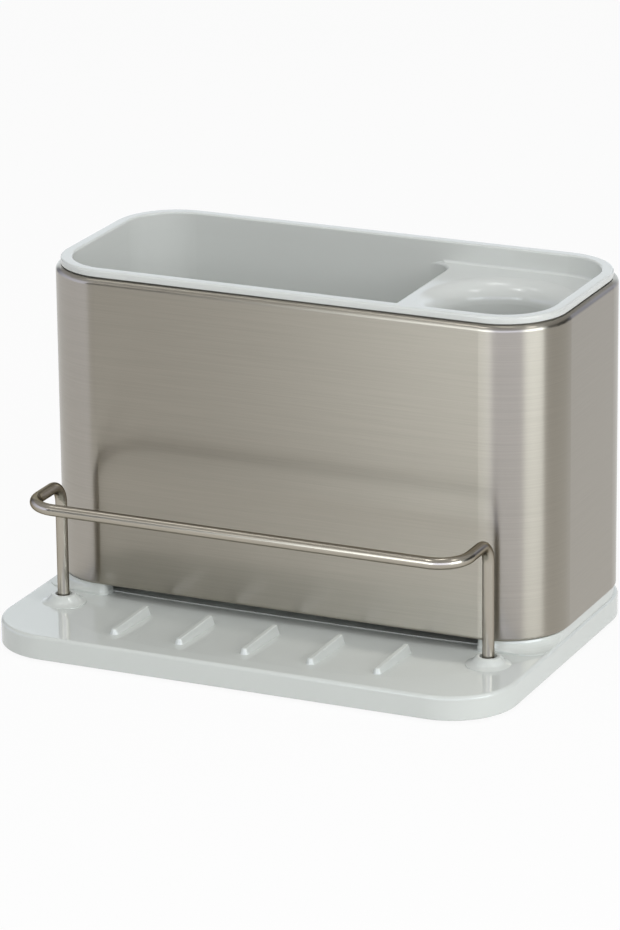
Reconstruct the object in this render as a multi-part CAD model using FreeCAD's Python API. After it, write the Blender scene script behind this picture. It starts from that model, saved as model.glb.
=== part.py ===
# Kitchen sink caddy: a drip tray on rubber feet carries a brushed steel sleeve, a moulded liner hangs in
# the sleeve, and a bent wire rail stands in two sockets at the front of the tray.
# Millimetres. X runs to the right, Y to the back, Z up. The origin is under the middle of the tray, on the
# worktop.
import FreeCAD, Part
import math
import os

V = FreeCAD.Vector

# Drip tray
tray_width = 205.0
tray_depth = 146.0
tray_corner = 25.2
tray_height = 9.15
tray_edge_round = 1.4
tray_foot_round = 0.5
skirt_wall = 2.4
plate_thickness = 3.0
hollow_round = 1.0
apron_depth = 50.8
dish_fall = 1.95
dish_front_margin = 7.0
dish_power = 4.0
dish_steps = 12

# Plinth that carries the sleeve, and the drain gap in its front
plinth_rise = 3.3
plinth_side_inset = 0.8
plinth_front_inset = 1.0
plinth_front_corner = 23.5
plinth_run_out = 0.4
plinth_toe_corner = 9.0
plinth_ramp_steps = 6
drain_end_land = 26.9
drain_nose = 2.4
locator_wall = 1.8
locator_height = 2.4
locator_clearance = 0.4
locator_round = 0.6
drip_lip_height = 0.35
drip_rise = 1.0
drip_land = 0.6

# Drain ribs on the apron
rib_pitch = 26.4
rib_height = 2.0
rib_foot = 6.4
rib_waist = 3.0
rib_waist_height = 0.5
rib_crest = 1.9
rib_crest_round = 0.45
rib_end_flare = 0.8
rib_end_slope = 1.2
rib_front_margin = 11.9
rib_back_margin = 9.3
rib_boss_clear = 12.0

# Rail, its bosses and its sockets
wire_diameter = 4.4
wire_end_round = 0.6
leg_side_inset = 16.5
leg_setback = 12.6
bar_front_margin = 9.2
rail_rise = 46.55
rail_top_bend = 7.5
rail_front_bend = 11.5
boss_height = 3.05
boss_top = 8.8
boss_knee = 12.8
boss_knee_height = 0.8
boss_knee_round = 3.0
boss_base = 16.8
boss_round = 0.7
boss_post = 11.4
socket_mouth = 6.4
socket_taper = 4.0
socket_play = 0.3
socket_floor = 2.0
socket_bottom_wall = 1.4

# Rubber feet
foot_diameter = 12.0
foot_proud = 1.0
foot_round = 0.6
foot_pocket = 1.4
foot_pocket_wall = 2.0
foot_pocket_play = 0.15
foot_post_recess = 0.4
foot_side_inset = 19.0
foot_end_inset = 18.0

# Steel sleeve
sleeve_height = 119.7
sleeve_corner = 25.8
sleeve_sheet = 0.8
sleeve_top_roll = 2.2
sleeve_bottom_roll = 1.2
sleeve_side_margin = 0.1
sleeve_back_margin = 1.3
sleeve_top_lip = 4.0
sleeve_bottom_lip = 5.0

# Liner: rim, bin, shelf and brush cup
rim_inset = 1.9
rim_width = 4.45
rim_rise = 2.85
rim_round = 0.7
rim_shadow_gap = 0.5
rim_shadow_depth = 1.2
liner_wall = 1.85
liner_foot_gap = 6.0
shelf_drop = 8.05
shelf_edge_round = 1.2
shelf_wall_round = 1.0
brush_cell = 65.0
bin_corner = 10.0
bin_draft = 2.0
bin_floor = 2.2
bin_floor_round = 6.0
cup_shift_right = 1.0
cup_shift_back = 1.5
cup_throat = 43.5
cup_flare = 8.0
cup_draft = 1.0
cup_floor_round = 4.0
slot_width = 3.0
slot_length = 20.0
slot_pitch_x = 17.0
slot_pitch_y = 30.0
slot_edge_margin = 6.0
cup_hole = 4.0
cup_hole_circle = 20.0
cup_hole_count = 6

# How far a cutting body reaches past the face that it cuts
past = 2.0

# A nearly full rounding of an end, as a share of its width
full_round = 0.49

# Heights, from the worktop up
z_skirt = foot_proud
z_floor = z_skirt + tray_height
z_plate = z_floor - plate_thickness
z_seat = z_floor + plinth_rise
z_sleeve_top = z_seat + sleeve_height
z_rim = z_sleeve_top + rim_rise
z_shelf = z_rim - shelf_drop
z_liner_foot = z_seat + liner_foot_gap
z_boss = z_floor + boss_height
z_socket = z_skirt + socket_floor
z_bar = z_floor + rail_rise

# Places in plan
tray_box = (-tray_width / 2, tray_width / 2, -tray_depth / 2, tray_depth / 2)
sleeve_half = tray_width / 2 - sleeve_side_margin
y_tray_front = -tray_depth / 2
y_sleeve_front = y_tray_front + apron_depth
y_sleeve_back = tray_depth / 2 - sleeve_back_margin
y_plinth = y_sleeve_front + plinth_front_inset
leg_x = tray_width / 2 - leg_side_inset
leg_y = y_sleeve_front - leg_setback
bar_y = y_tray_front + bar_front_margin
cavity_inset = rim_inset + rim_width
cavity_right = sleeve_half - cavity_inset
cavity_front = y_sleeve_front + cavity_inset
cavity_back = y_sleeve_back - cavity_inset
divider_x = cavity_right - brush_cell
cup_x = (divider_x + cavity_right) / 2 + cup_shift_right
cup_y = (cavity_front + cavity_back) / 2 + cup_shift_back
cup_wall = min(cavity_right - cup_x, cup_x - divider_x, cavity_back - cup_y, cup_y - cavity_front)
locator_inset = sleeve_bottom_lip + locator_clearance
y_drip = y_sleeve_front + locator_inset + locator_wall
y_lip = y_drip + drip_land
drain_half = sleeve_half - drain_end_land


# A wire of straight runs with each corner rounded by its own radius: points are (place, radius)
def rounded_wire(points, closed=True):
    count = len(points)
    corners = []
    for i, (place, radius) in enumerate(points):
        if radius == 0 or (not closed and i in (0, count - 1)):
            corners.append((place, None, place))
            continue
        before = (points[i - 1][0] - place).normalize()
        after = (points[(i + 1) % count][0] - place).normalize()
        half = before.getAngle(after) / 2
        middle = (before + after).normalize()
        tangent = radius / math.tan(half)
        crown = place + middle * (radius / math.sin(half) - radius)
        corners.append((place + before * tangent, crown, place + after * tangent))
    edges = []
    for i, (start, crown, end) in enumerate(corners):
        if crown is not None:
            edges.append(Part.Arc(start, crown, end).toShape())
        last = not closed and i == count - 1
        following = corners[(i + 1) % count][0]
        if not last and end.distanceToPoint(following) > 1e-6:
            edges.append(Part.LineSegment(end, following).toShape())
    return Part.Wire(edges)


# A rectangle with rounded corners, given front left, front right, back right, back left
def outline(box, corners, z):
    x0, x1, y0, y1 = box
    places = (V(x0, y0, z), V(x1, y0, z), V(x1, y1, z), V(x0, y1, z))
    return rounded_wire(list(zip(places, corners)))


def tray_outline(inset, z):
    x0, x1, y0, y1 = tray_box
    box = (x0 + inset, x1 - inset, y0 + inset, y1 - inset)
    return outline(box, 4 * (tray_corner - inset,), z)


def sleeve_outline(inset, z):
    box = (-sleeve_half + inset, sleeve_half - inset, y_sleeve_front + inset, y_sleeve_back - inset)
    return outline(box, 4 * (sleeve_corner - inset,), z)


# The plinth keeps its side and back inset; its ramp runs out at the front, and most round the front corners.
# The spread is 0 under the sleeve and 1 at the toe of the ramp.
def plinth_outline(spread, z):
    half = sleeve_half - plinth_side_inset
    box = (-half, half, y_plinth - spread * plinth_run_out, y_sleeve_back - plinth_side_inset)
    front_corner = plinth_front_corner + spread * (plinth_toe_corner - plinth_front_corner)
    back_corner = sleeve_corner - plinth_side_inset
    return outline(box, (front_corner, front_corner, back_corner, back_corner), z)


# The bin has the liner's large corners on the left and its own smaller ones at the divider
def bin_outline(grow, z):
    box = (-cavity_right - grow, divider_x + grow, cavity_front - grow, cavity_back + grow)
    large = sleeve_corner - cavity_inset + grow
    small = bin_corner + grow
    return outline(box, (large, small, small, large), z)


def prism(wire, height):
    return Part.Face(wire).extrude(V(0, 0, height))


def loft(wires, ruled=True):
    return Part.makeLoft(wires, True, ruled)


# A solid of revolution about a vertical axis: points are (radius, height, rounding)
def turned(x, y, points):
    places = [(V(x + r, y, z), rounding) for r, z, rounding in points]
    return Part.Face(rounded_wire(places)).revolve(V(x, y, 0), V(0, 0, 1), 360)


def edges_at(shape, z):
    return [e for e in shape.Edges if abs(e.BoundBox.ZMin - z) < 1e-4 and abs(e.BoundBox.ZMax - z) < 1e-4]


def round_at(shape, z, radius):
    return shape.makeFillet(radius, edges_at(shape, z))


def both_sides(place):
    return [place(side) for side in (-1, 1)]


# Drip tray: skirt and plate, hollow below
def tray_shell():
    shell = prism(tray_outline(0, z_skirt), tray_height)
    shell = round_at(shell, z_floor, tray_edge_round)
    shell = round_at(shell, z_skirt, tray_foot_round)
    hollow = prism(tray_outline(skirt_wall, z_skirt - past), z_plate - z_skirt + past)
    hollow = round_at(hollow, z_plate, hollow_round)
    return shell.cut(hollow)


# All that lies above a shallow trough: nearly level across, it runs out just past the sides of the tray
def trough(start, run):
    half = tray_width / 2 + past
    shares = [i / dish_steps for i in range(-dish_steps, dish_steps + 1)]
    bottom = Part.BSplineCurve()
    bottom.interpolate([start + V(s * half, 0, dish_fall * abs(s) ** dish_power) for s in shares])
    sides = Part.makePolygon([
        start + V(half, 0, dish_fall),
        start + V(half, 0, tray_height),
        start + V(-half, 0, tray_height),
        start + V(-half, 0, dish_fall),
    ])
    return Part.Face(Part.Wire([bottom.toShape()] + sides.Edges)).extrude(run)


# Dish that drains the apron: it falls to the back, as far as the lip of the drip floor
def apron_dish():
    start = V(0, y_tray_front + dish_front_margin, z_floor)
    run = V(0, y_lip, z_floor - dish_fall) - start
    return trough(start, run)


# Drip floor under the liner: it falls towards the front and ends in the lip, a low step above the dish
def drip_dish():
    start = V(0, y_lip, z_floor - dish_fall + drip_lip_height)
    run = V(0, y_sleeve_back, start.z + drip_rise) - start
    plan = sleeve_outline(locator_inset + locator_wall + drip_land, z_plate)
    return trough(start, run).common(prism(plan, plate_thickness + past))


# The hollow curve of the plinth's ramp, from its toe up: (spread, height)
def ramp_curve():
    turns = [i / plinth_ramp_steps * math.pi / 2 for i in range(plinth_ramp_steps + 1)]
    return [(1 - math.sin(t), z_floor + plinth_rise * (1 - math.cos(t))) for t in turns]


# A cut through the ramp where it turns round the end of the drain gap
def ramp_face(x, out):
    foot = V(x, y_plinth + drain_nose, z_plate)
    points = [foot]
    for spread, z in [(1, z_plate)] + ramp_curve():
        points.append(V(foot.x, foot.y, z) + out * (drain_nose + spread * plinth_run_out))
    points += [V(foot.x, foot.y, z_seat), foot]
    return Part.Face(Part.makePolygon(points))


# One end of the drain gap: the ramp turns a quarter round a nose, then runs back beside the gap
def drain_end(side):
    x = side * (drain_half + drain_nose)
    nose = ramp_face(x, V(0, -1, 0)).revolve(V(x, y_plinth + drain_nose, 0), V(0, 0, -side), 90)
    cheek = ramp_face(x, V(-side, 0, 0)).extrude(V(0, y_drip + past - y_plinth - drain_nose, 0))
    return nose.fuse(cheek)


# Plinth with a ramp at its front, and the low wall that locates the sleeve's lower lip
def plinth():
    z_locator = z_seat + locator_height
    ramp = loft([plinth_outline(spread, z) for spread, z in ramp_curve()])
    root = prism(plinth_outline(1, z_plate), z_floor - z_plate)
    locator = prism(sleeve_outline(locator_inset, z_floor), z_locator - z_floor)
    locator = round_at(locator, z_locator, locator_round)
    mouth = y_plinth - plinth_run_out - past
    reach = drain_half + drain_nose
    corner = V(-reach, mouth, z_plate)
    gap = Part.makeBox(2 * reach, y_drip + past - mouth, z_locator + past - z_plate, corner)
    inner = sleeve_outline(locator_inset + locator_wall, z_plate - past)
    inside = prism(inner, z_locator + 2 * past - z_plate)
    return ramp.fuse([root, locator]).cut(gap).fuse(both_sides(drain_end)).cut(inside)


# One drain rib: a level crest on a spreading foot, with sloping ends, rooted in the dished floor
def rib(x):
    front = y_tray_front + rib_front_margin
    back = y_plinth - plinth_run_out - rib_back_margin
    sections = []
    for width, shorten, z in (
        (rib_foot, 0, z_plate),
        (rib_waist, rib_end_flare, z_floor + rib_waist_height),
        (rib_crest, rib_end_slope, z_floor + rib_height),
    ):
        box = (x - width / 2, x + width / 2, front + shorten, back - shorten)
        sections.append(outline(box, 4 * (full_round * width,), z))
    return round_at(loft(sections), z_floor + rib_height, rib_crest_round)


def ribs():
    field = 2 * (leg_x - boss_base / 2 - rib_boss_clear)
    count = int(field // rib_pitch) + 1
    return [rib((i - (count - 1) / 2) * rib_pitch) for i in range(count)]


# Conical boss on the apron with a hollow-curved foot, and the post below the plate that deepens its socket
def boss(side):
    points = [
        (0, z_socket - socket_bottom_wall, 0),
        (boss_post / 2, z_socket - socket_bottom_wall, 0),
        (boss_post / 2, z_plate, 0),
        (boss_base / 2, z_plate, 0),
        (boss_base / 2, z_floor, 0),
        (boss_knee / 2, z_floor + boss_knee_height, boss_knee_round),
        (boss_top / 2, z_boss, boss_round),
        (0, z_boss, 0),
    ]
    return turned(side * leg_x, leg_y, points)


def socket(side):
    wall = wire_diameter / 2 + socket_play
    points = [
        (0, z_socket, 0),
        (wall, z_socket, 0),
        (wall, z_boss - socket_taper, 0),
        (socket_mouth / 2, z_boss, 0),
        (socket_mouth / 2, z_boss + past, 0),
        (0, z_boss + past, 0),
    ]
    return turned(side * leg_x, leg_y, points)


foot_places = {
    "foot_front_left": (-1, -1),
    "foot_front_right": (1, -1),
    "foot_rear_left": (-1, 1),
    "foot_rear_right": (1, 1),
}
z_foot_post = z_skirt + foot_post_recess
z_foot_top = z_foot_post + foot_pocket


def foot_place(name):
    side, end = foot_places[name]
    return V(side * (tray_width / 2 - foot_side_inset), end * (tray_depth / 2 - foot_end_inset), 0)


def foot_post(name):
    radius = foot_diameter / 2 + foot_pocket_play + foot_pocket_wall
    return Part.makeCylinder(radius, z_plate - z_foot_post, foot_place(name) + V(0, 0, z_foot_post))


def foot_pocket_cut(name):
    radius = foot_diameter / 2 + foot_pocket_play
    return Part.makeCylinder(radius, z_foot_top, foot_place(name))


def base_tray():
    tray = tray_shell().cut(apron_dish())
    tray = tray.fuse([plinth()] + ribs() + both_sides(boss) + [foot_post(n) for n in foot_places])
    tray = tray.cut([drip_dish()] + both_sides(socket) + [foot_pocket_cut(n) for n in foot_places])
    return tray.removeSplitter()


def rubber_foot(name):
    place = foot_place(name)
    radius = foot_diameter / 2
    profile = [(0, 0, 0), (radius, 0, foot_round), (radius, z_foot_top, 0), (0, z_foot_top, 0)]
    return turned(place.x, place.y, profile)


# Sleeve: one sheet thickness all over, rolled inwards into a lip at both ends
def steel_sleeve():
    outer = prism(sleeve_outline(0, z_seat), sleeve_height)
    outer = round_at(outer, z_seat, sleeve_bottom_roll)
    outer = round_at(outer, z_sleeve_top, sleeve_top_roll)
    inner = prism(sleeve_outline(sleeve_sheet, z_seat + sleeve_sheet), sleeve_height - 2 * sleeve_sheet)
    inner = round_at(inner, z_seat + sleeve_sheet, sleeve_bottom_roll - sleeve_sheet)
    inner = round_at(inner, z_sleeve_top - sleeve_sheet, sleeve_top_roll - sleeve_sheet)
    depth = sleeve_height / 2 + past
    top_mouth = prism(sleeve_outline(sleeve_top_lip, z_sleeve_top - sleeve_height / 2), depth)
    bottom_mouth = prism(sleeve_outline(sleeve_bottom_lip, z_seat - past), depth)
    return outer.cut([inner, top_mouth, bottom_mouth])


# Liner rim: a band that hangs on the sleeve's upper lip, undercut at its outside by a shadow gap
def liner_rim():
    band = prism(sleeve_outline(rim_inset, z_sleeve_top), rim_rise)
    band = band.cut(prism(sleeve_outline(cavity_inset, z_sleeve_top - past), rim_rise + 2 * past))
    band = round_at(band, z_rim, rim_round)
    shadow = prism(sleeve_outline(rim_inset - past, z_sleeve_top), rim_shadow_gap)
    seat = prism(sleeve_outline(rim_inset + rim_shadow_depth, z_sleeve_top), rim_shadow_gap)
    return band.cut(shadow.cut(seat))


# Brush cup: throat, flared mouth and rounded floor, inside or grown by the wall to its outside
def cup(grow):
    flare = min(cup_flare, cup_wall - cup_throat / 2 - shelf_wall_round)
    throat = cup_throat / 2 + grow
    bottom = throat - cup_draft
    mouth = cup_throat / 2 + flare + grow
    floor = z_liner_foot + (0 if grow else bin_floor)
    top = z_shelf + (0 if grow else past)
    points = [
        (0, floor, 0),
        (bottom, floor, cup_floor_round + grow),
        (throat, z_shelf - flare, 0),
        (throat, z_shelf - grow, flare - grow),
        (mouth, z_shelf - grow, 0),
        (mouth, top, 0),
        (0, top, 0),
    ]
    return turned(cup_x, cup_y, points)


def bin_body(grow):
    floor = z_liner_foot + (0 if grow else bin_floor)
    body = loft([bin_outline(grow - bin_draft, floor), bin_outline(grow, z_shelf)])
    return round_at(body, floor, bin_floor_round + grow)


# The rounded edge where the shelf turns down into the bin
def shelf_edge_cut():
    r = shelf_edge_round
    x_end = divider_x - bin_corner
    path = rounded_wire([
        (V(x_end, cavity_back, z_shelf), 0),
        (V(divider_x, cavity_back, z_shelf), bin_corner),
        (V(divider_x, cavity_front, z_shelf), bin_corner),
        (V(x_end, cavity_front, z_shelf), 0),
    ], closed=False)
    corner = rounded_wire([
        (V(x_end, cavity_back - r, z_shelf + r), 0),
        (V(x_end, cavity_back + r, z_shelf + r), 0),
        (V(x_end, cavity_back + r, z_shelf), 0),
        (V(x_end, cavity_back, z_shelf), r),
        (V(x_end, cavity_back, z_shelf - r), 0),
        (V(x_end, cavity_back - r, z_shelf - r), 0),
    ])
    sweep = path.makePipeShell([corner], True, False)
    return sweep.common(prism(sleeve_outline(cavity_inset, z_shelf - 2 * r), 4 * r))


def slot(x, y):
    end = slot_width / 2
    box = (x - end, x + end, y - slot_length / 2, y + slot_length / 2)
    return prism(outline(box, 4 * (full_round * slot_width,), z_liner_foot - past), bin_floor + 2 * past)


def evenly(low, high, pitch):
    count = int((high - low) // pitch) + 1
    middle = (low + high) / 2
    return [middle + (i - (count - 1) / 2) * pitch for i in range(count)]


def drain_cuts():
    edge = bin_draft + bin_floor_round + slot_edge_margin
    columns = evenly(-cavity_right + edge, divider_x - edge, slot_pitch_x)
    rows = evenly(cavity_front + edge + slot_length / 2, cavity_back - edge - slot_length / 2, slot_pitch_y)
    cuts = [slot(x, y) for x in columns for y in rows]
    for i in range(cup_hole_count):
        turn = 2 * math.pi * i / cup_hole_count
        out = V(math.cos(turn), math.sin(turn), 0) * (cup_hole_circle / 2)
        place = V(cup_x, cup_y, z_liner_foot - past) + out
        cuts.append(Part.makeCylinder(cup_hole / 2, bin_floor + 2 * past, place))
    return cuts


def inner_liner():
    collar_outline = sleeve_outline(cavity_inset - liner_wall, z_shelf - liner_wall)
    collar = prism(collar_outline, z_sleeve_top - z_shelf + liner_wall)
    body = collar.fuse([bin_body(liner_wall), cup(liner_wall)])
    recess = prism(sleeve_outline(cavity_inset, z_shelf), shelf_drop + past)
    recess = round_at(recess, z_shelf, shelf_wall_round)
    mouth = prism(bin_outline(0, z_shelf), shelf_drop + past)
    body = body.cut([recess, mouth, bin_body(0), cup(0)] + drain_cuts())
    body = body.cut(shelf_edge_cut())
    return body.fuse(liner_rim()).removeSplitter()


# Rail: one wire bent up, forward, across, back and down
def wire_rail():
    path = rounded_wire([
        (V(-leg_x, leg_y, z_socket), 0),
        (V(-leg_x, leg_y, z_bar), rail_top_bend),
        (V(-leg_x, bar_y, z_bar), rail_front_bend),
        (V(leg_x, bar_y, z_bar), rail_front_bend),
        (V(leg_x, leg_y, z_bar), rail_top_bend),
        (V(leg_x, leg_y, z_socket), 0),
    ], closed=False)
    section = Part.Wire(Part.makeCircle(wire_diameter / 2, V(-leg_x, leg_y, z_socket), V(0, 0, 1)))
    wire = path.makePipeShell([section], True, False)
    return round_at(wire, z_socket, wire_end_round)


pieces = {
    "base_tray": base_tray(),
    "steel_sleeve": steel_sleeve(),
    "inner_liner": inner_liner(),
    "wire_rail": wire_rail(),
}
for foot_name in foot_places:
    pieces[foot_name] = rubber_foot(foot_name)

os.makedirs("parts", exist_ok=True)
for name, shape in pieces.items():
    shape.exportStep("parts/" + name + ".step")
    box = shape.BoundBox
    print(name, "solids", len(shape.Solids), "valid", shape.isValid(), "volume", round(shape.Volume, 1),
          "z", round(box.ZMin, 2), round(box.ZMax, 2))
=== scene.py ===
import math

import bpy
from mathutils import Matrix, Vector

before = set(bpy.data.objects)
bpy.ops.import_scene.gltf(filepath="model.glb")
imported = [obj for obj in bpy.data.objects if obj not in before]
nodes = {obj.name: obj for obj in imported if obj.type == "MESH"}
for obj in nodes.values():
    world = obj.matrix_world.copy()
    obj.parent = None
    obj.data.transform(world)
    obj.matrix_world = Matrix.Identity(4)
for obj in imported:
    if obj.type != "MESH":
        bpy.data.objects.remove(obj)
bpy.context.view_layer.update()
scene = bpy.context.scene
scene.view_settings.view_transform = "Standard"
print("frame loaded:", sorted(nodes))


# a socket that does sums: each operator adds one Math node to the same tree
class Flow:
    def __init__(self, tree, socket=None):
        self.tree = tree
        self.socket = socket

    # any other node: its type, its settings first, then the values or links of its sockets
    def add(self, kind, settings=None, inputs=None, out=0):
        node = self.tree.nodes.new("ShaderNode" + kind)
        for key, value in (settings or {}).items():
            if key == "stops":
                setStops(node.color_ramp, value)
            else:
                setattr(node, key, value)
        for key, value in (inputs or {}).items():
            if isinstance(value, Flow):
                self.tree.links.new(value.socket, node.inputs[key])
            else:
                node.inputs[key].default_value = value
        return Flow(self.tree, node.outputs[out] if node.outputs else None)

    def sums(self, operation, first, second):
        return self.add("Math", {"operation": operation}, {0: first, 1: second})

    def __add__(self, other):
        return self.sums("ADD", self, other)

    def __radd__(self, other):
        return self.sums("ADD", other, self)

    def __sub__(self, other):
        return self.sums("SUBTRACT", self, other)

    def __rsub__(self, other):
        return self.sums("SUBTRACT", other, self)

    def __mul__(self, other):
        return self.sums("MULTIPLY", self, other)

    def __rmul__(self, other):
        return self.sums("MULTIPLY", other, self)

    def stretched(self, scale):
        return self.add("VectorMath", {"operation": "MULTIPLY"}, {0: self, 1: scale})

    def noise(self, scale, detail=2.0, rough=0.5):
        inputs = {"Vector": self, "Scale": scale, "Detail": detail, "Roughness": rough}
        return self.add("TexNoise", None, inputs)

    # the fine grain of a finish: noise with more detail in it
    def grain(self, scale):
        return self.noise(scale, detail=3.0, rough=0.6)

    # noise lies round a half: this swings it by reach about nothing
    def swing(self, reach):
        return (self - 0.5) * reach

    # 0 below low, 1 above high, smooth between
    def step(self, low, high):
        inputs = {"Value": self, "From Min": low, "From Max": high}
        return self.add("MapRange", {"interpolation_type": "SMOOTHSTEP"}, inputs)

    # a Mix node takes its colours at 6 and 7 and gives the mixed one at 2
    def blend(self, first, second):
        return self.add("Mix", {"data_type": "RGBA"}, {0: self, 6: first, 7: second}, out=2)

    # from the darker to the lighter shade of a finish's colour
    def shades(self, finish):
        colour = finish["colour"]
        return self.blend(rgb(colour, finish["shade"]), rgb(colour, finish["light"]))

    def relief(self, finish):
        inputs = {"Strength": finish["bump"], "Distance": finish["bumpDepth"], "Height": self}
        return self.add("Bump", None, inputs)


def setStops(ramp, stops):
    while len(ramp.elements) < len(stops):
        ramp.elements.new(1.0)
    for element, (place, colour) in zip(ramp.elements, stops):
        element.position = place
        element.color = colour


def rgb(colour, factor=1.0):
    return (*[c * factor for c in colour], 1.0)


def newMaterial(name):
    made = bpy.data.materials.new(name)
    made.use_nodes = True
    made.node_tree.nodes.clear()
    return made, Flow(made.node_tree)


def closeMaterial(flow, shader):
    flow.add("OutputMaterial", None, {"Surface": shader})


def dress(node, material):
    slots = nodes[node].data.materials
    slots.clear()
    slots.append(material)


# camera: the photograph's angle, its focal length in pixels of the 620 x 930 picture
view = {
    "azimuth": 24.553169, "elevation": 18.412587, "roll": -0.614247,
    "place": (0.73132, -1.60056, 0.64989), "focalPixels": 5003.34, "longSide": 930, "sensor": 36.0,
}


def makeCamera(v):
    az, el, roll = (math.radians(v[k]) for k in ("azimuth", "elevation", "roll"))
    back = Vector((math.sin(az) * math.cos(el), -math.cos(az) * math.cos(el), math.sin(el)))
    right = Vector((math.cos(az), math.sin(az), 0))
    up = back.cross(right)
    turnedRight = right * math.cos(roll) + up * math.sin(roll)
    turnedUp = up * math.cos(roll) - right * math.sin(roll)
    camera = bpy.data.objects.new("camera", bpy.data.cameras.new("camera"))
    camera.data.sensor_width = v["sensor"]
    camera.data.lens = v["focalPixels"] * v["sensor"] / v["longSide"]
    place = Matrix((turnedRight, turnedUp, back)).transposed().to_4x4()
    place.translation = v["place"]
    camera.matrix_world = place
    scene.collection.objects.link(camera)
    scene.camera = camera


makeCamera(view)
print("camera placed")

# studio: a pale floor, soft lamps for the plastics, and panels and a round tent that only reflections see
studio = {
    "floorSide": 6.0, "floorColour": (0.80, 0.80, 0.80), "floorGlow": 0.92,
    "floorMottle": 9.0, "floorShade": 0.99,
    "silkMottle": 4.0, "silkShade": 0.97,
    "worldColour": (0.52, 0.52, 0.52),
    "aim": (0.0, 0.0, 0.07),
    "lamps": {
        "keyLamp": {"middle": (0.50, -1.15, 0.80), "size": (0.90, 0.90), "level": 2.4},
        "sideLamp": {"middle": (1.35, -0.35, 0.45), "size": (0.80, 0.70), "level": 3.9},
        "overLamp": {"middle": (-0.10, -0.22, 1.35), "size": (1.00, 0.80), "level": 1.4},
    },
    "panels": {
        "topPanel": {"middle": (-0.30, 0.12, 1.00), "size": (0.60, 0.40), "level": 0.2},
        "lowPanel": {"middle": (-0.46, -0.80, 0.56), "size": (0.52, 0.12), "level": 2.2},
        "midPanel": {"middle": (-0.41, -0.02, 0.97), "size": (0.20, 0.34), "level": 2.7},
        "backGlint": {"middle": (-0.034, 0.195, 1.112), "size": (0.26, 0.26), "level": 5.0},
        "leftGlint": {"middle": (0.595, -0.034, 0.959), "size": (0.18, 0.18), "level": 6.5},
        "rightGlint": {"middle": (-0.199, -0.376, 0.991), "size": (0.18, 0.18), "level": 7.5},
    },
}
# tent wall, its light as degrees round from the right, level, share of the cool silk
tent = {
    "radius": 1.0, "height": 0.48, "sides": 120,
    "peak": 6.8, "clear": (1.0, 1.08, 1.16), "cool": (1.0, 1.06, 1.37),
    "light": [
        (-180, 1.1, 1), (-160, 1.3, 1), (-140, 1.5, 1), (-132, 1.5, 1),
        (-129.5, 0, 0), (-117, 0, 0), (-115.5, 0.05, 0), (-113.5, 0.5, 0), (-111.8, 1.3, 0),
        (-110, 2.6, 0), (-108.5, 3.9, 0), (-104, 4.2, 0), (-98, 5.0, 0), (-90, 5.6, 0.2),
        (-80, 2.35, 1), (-39, 2.35, 1), (-30, 6.3, 0), (-7, 6.3, 0), (-1, 0.5, 0),
        (7, 0, 0), (51, 0, 0), (58, 0.4, 1), (63, 1.0, 1), (70, 0.6, 0.4),
        (90, 1.25, 0), (138, 1.25, 0), (150, 0.15, 1), (165, 0.7, 1), (180, 1.1, 1),
    ],
}


def flatMesh(name, size):
    x, y = (side / 2 for side in size)
    mesh = bpy.data.meshes.new(name)
    mesh.from_pydata([(-x, -y, 0), (x, -y, 0), (x, y, 0), (-x, y, 0)], [], [(0, 1, 2, 3)])
    return mesh


def makeFloor(s):
    mesh = flatMesh("floor", (s["floorSide"], s["floorSide"]))
    floor = bpy.data.objects.new("floor", mesh)
    scene.collection.objects.link(floor)
    material, flow = newMaterial("floorPaper")
    mottle = flow.add("TexCoord", out="Object").noise(s["floorMottle"])
    tone = mottle.blend(rgb(s["floorColour"], s["floorShade"]), rgb(s["floorColour"]))
    paper = flow.add("BsdfDiffuse", None, {"Color": tone})
    glow = flow.add("Emission", None, {"Color": (1, 1, 1, 1), "Strength": 1.0})
    # white to the camera and in reflections, less a part that keeps the shadow
    seen = flow.add("LightPath", out="Is Camera Ray")
    for ray in ("Is Glossy Ray", "Is Transmission Ray"):
        seen = seen + flow.add("LightPath", out=ray)
    share = flow.add("Clamp", None, {"Value": seen}) * s["floorGlow"]
    closeMaterial(flow, flow.add("MixShader", None, {0: share, 1: paper, 2: glow}))
    mesh.materials.append(material)


def facing(middle, aim):
    turn = (Vector(aim) - Vector(middle)).to_track_quat("-Z", "Y")
    return Matrix.Translation(middle) @ turn.to_matrix().to_4x4()


def makeLamps(s):
    for name, lamp in s["lamps"].items():
        data = bpy.data.lights.new(name, "AREA")
        data.shape = "RECTANGLE"
        data.size, data.size_y = lamp["size"]
        data.energy = lamp["level"] * math.pi * data.size * data.size_y
        placed = bpy.data.objects.new(name, data)
        placed.matrix_world = facing(lamp["middle"], s["aim"])
        placed.visible_camera = False
        placed.visible_glossy = False
        scene.collection.objects.link(placed)


# a stage piece that only reflections see
def onlyMirrored(name, mesh, material):
    mesh.materials.append(material)
    placed = bpy.data.objects.new(name, mesh)
    for ray in ("camera", "diffuse", "shadow", "transmission", "volume_scatter"):
        setattr(placed, "visible_" + ray, False)
    scene.collection.objects.link(placed)
    return placed


def makePanels(s):
    white = (1, 1, 1)
    for name, panel in s["panels"].items():
        material, flow = newMaterial(name + "Silk")
        mottle = flow.add("TexCoord", out="Object").noise(s["silkMottle"])
        silk = mottle.blend(rgb(white, s["silkShade"]), rgb(white))
        closeMaterial(flow, flow.add("Emission", None, {"Color": silk, "Strength": panel["level"]}))
        placed = onlyMirrored(name, flatMesh(name, panel["size"]), material)
        placed.matrix_world = facing(panel["middle"], s["aim"])


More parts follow.
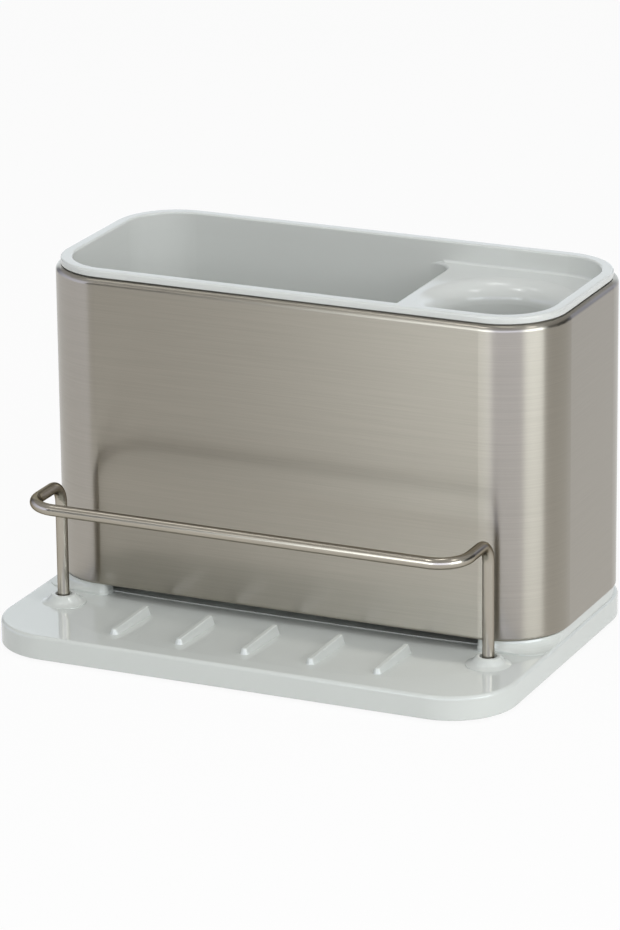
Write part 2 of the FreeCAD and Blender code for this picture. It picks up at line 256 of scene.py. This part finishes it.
def makeTent(t):
    material, flow = newMaterial("tentSilk")
    place = flow.add("TexCoord", out="Object")
    along, across = (flow.add("SeparateXYZ", None, {"Vector": place}, out=axis) for axis in "XY")
    turn = flow.sums("ARCTAN2", across, along) * (1 / math.tau) + 0.5  # 0 at -180 degrees, 1 at 180
    stops = []
    for degrees, level, cool in t["light"]:
        tint = [a + (b - a) * cool for a, b in zip(t["clear"], t["cool"])]
        stops.append(((degrees + 180) / 360, rgb(tint, level / t["peak"])))
    silk = flow.add("ValToRGB", {"stops": stops}, {"Fac": turn})
    closeMaterial(flow, flow.add("Emission", None, {"Color": silk, "Strength": t["peak"]}))
    sides = t["sides"]
    turns = [i * math.tau / sides for i in range(sides)]
    ring = [(t["radius"] * math.cos(a), t["radius"] * math.sin(a)) for a in turns]
    points = [(x, y, z) for z in (0.0, t["height"]) for x, y in ring]
    walls = [(i, (i + 1) % sides, sides + (i + 1) % sides, sides + i) for i in range(sides)]
    mesh = bpy.data.meshes.new("tent")
    mesh.from_pydata(points, [], walls)
    onlyMirrored("tent", mesh, material)


def makeWorld(s):
    world = bpy.data.worlds.new("studio")
    scene.world = world
    world.use_nodes = True
    world.node_tree.nodes["Background"].inputs["Color"].default_value = rgb(s["worldColour"])


makeFloor(studio)
makeLamps(studio)
makePanels(studio)
makeTent(tent)
makeWorld(studio)
print("studio set")

# brushed steel sleeve: fine level lines, a soft lobe across them and a keener one under it
sleeve = {
    "colour": (0.348, 0.322, 0.272), "shade": 0.94, "light": 1.045,
    "lines": (30.0, 30.0, 3400.0), "bands": (9.0, 9.0, 900.0), "lineShare": 0.8,
    "markLow": 0.25, "markHigh": 0.75,
    "rough": 0.31, "roughSwing": 0.06, "grain": 0.96, "grainTurn": 0.25,
    "keenRough": 0.17, "keenShare": 0.30, "bump": 0.05, "bumpDepth": 0.00002,
}


def brushedSteel(s):
    material, flow = newMaterial("brushedSteel")
    place = flow.add("TexCoord", out="Object")
    lines = place.stretched(s["lines"]).grain(1.0)
    bands = place.stretched(s["bands"]).noise(1.0)
    mark = s["lineShare"] * lines + (1 - s["lineShare"]) * bands
    tone = mark.step(s["markLow"], s["markHigh"]).shades(s)
    swing = mark.swing(s["roughSwing"])
    metal = {"Base Color": tone, "Metallic": 1.0, "Normal": lines.relief(s)}
    soft = flow.add("BsdfPrincipled", None, {
        **metal, "Roughness": s["rough"] + swing,
        "Anisotropic": s["grain"], "Anisotropic Rotation": s["grainTurn"]})
    keen = flow.add("BsdfPrincipled", None, {**metal, "Roughness": s["keenRough"] + swing})
    closeMaterial(flow, flow.add("MixShader", None, {0: s["keenShare"], 1: soft, 2: keen}))
    return material


dress("steel_sleeve", brushedSteel(sleeve))
print("steel sleeve dressed")

# wire rail: drawn wire, a keen lobe over a soft one
rail = {
    "colour": (0.395, 0.362, 0.302), "shade": 0.94, "light": 1.05, "edge": (0.24, 0.21, 0.17),
    "keenRough": 0.09, "softRough": 0.38, "softShare": 0.40, "roughSwing": 0.05,
    "grainScale": 900.0, "toneScale": 60.0, "bump": 0.04, "bumpDepth": 0.00002,
}


def drawnWire(s):
    material, flow = newMaterial("drawnWire")
    place = flow.add("TexCoord", out="Object")
    fine = place.grain(s["grainScale"])
    tone = place.noise(s["toneScale"]).shades(s)
    swing = fine.swing(s["roughSwing"])
    metal = {"Base Color": tone, "Metallic": 1.0, "Specular Tint": rgb(s["edge"]), "Normal": fine.relief(s)}
    keen = flow.add("BsdfPrincipled", None, {**metal, "Roughness": s["keenRough"] + swing})
    soft = flow.add("BsdfPrincipled", None, {**metal, "Roughness": s["softRough"] + swing})
    closeMaterial(flow, flow.add("MixShader", None, {0: s["softShare"], 1: keen, 2: soft}))
    return material


dress("wire_rail", drawnWire(rail))
print("wire rail dressed")

# moulded plastics: a glossy tray and a satin liner
tray = {
    "colour": (0.608, 0.638, 0.616), "shade": 0.985, "light": 1.01, "toneScale": 24.0,
    "rough": 0.11, "roughSwing": 0.05, "grainScale": 500.0, "bump": 0.03, "bumpDepth": 0.00002,
}
liner = {
    "colour": (0.618, 0.640, 0.622), "shade": 0.985, "light": 1.01, "toneScale": 24.0,
    "rough": 0.16, "roughSwing": 0.06, "grainScale": 1400.0, "bump": 0.08, "bumpDepth": 0.00002,
}


def mouldedPlastic(name, s):
    material, flow = newMaterial(name)
    place = flow.add("TexCoord", out="Object")
    fine = place.grain(s["grainScale"])
    slow = place.noise(s["toneScale"])
    closeMaterial(flow, flow.add("BsdfPrincipled", None, {
        "Base Color": slow.shades(s), "Roughness": s["rough"] + slow.swing(s["roughSwing"]),
        "Normal": fine.relief(s)}))
    return material


dress("base_tray", mouldedPlastic("glossPlastic", tray))
dress("inner_liner", mouldedPlastic("satinPlastic", liner))
print("plastics dressed")

# rubber feet, in pockets under the tray
feet = {
    "colour": (0.045, 0.046, 0.048), "shade": 0.8, "light": 1.3, "rough": 0.75, "roughSwing": 0.2,
    "grainScale": 1800.0, "bump": 0.25, "bumpDepth": 0.00004,
}


def footRubber(s):
    material, flow = newMaterial("footRubber")
    fine = flow.add("TexCoord", out="Object").grain(s["grainScale"])
    closeMaterial(flow, flow.add("BsdfPrincipled", None, {
        "Base Color": fine.shades(s), "Roughness": s["rough"] + fine.swing(s["roughSwing"]),
        "Normal": fine.relief(s)}))
    return material


rubber = footRubber(feet)
for name in nodes:
    if name.startswith("foot_"):
        dress(name, rubber)
print("feet dressed")
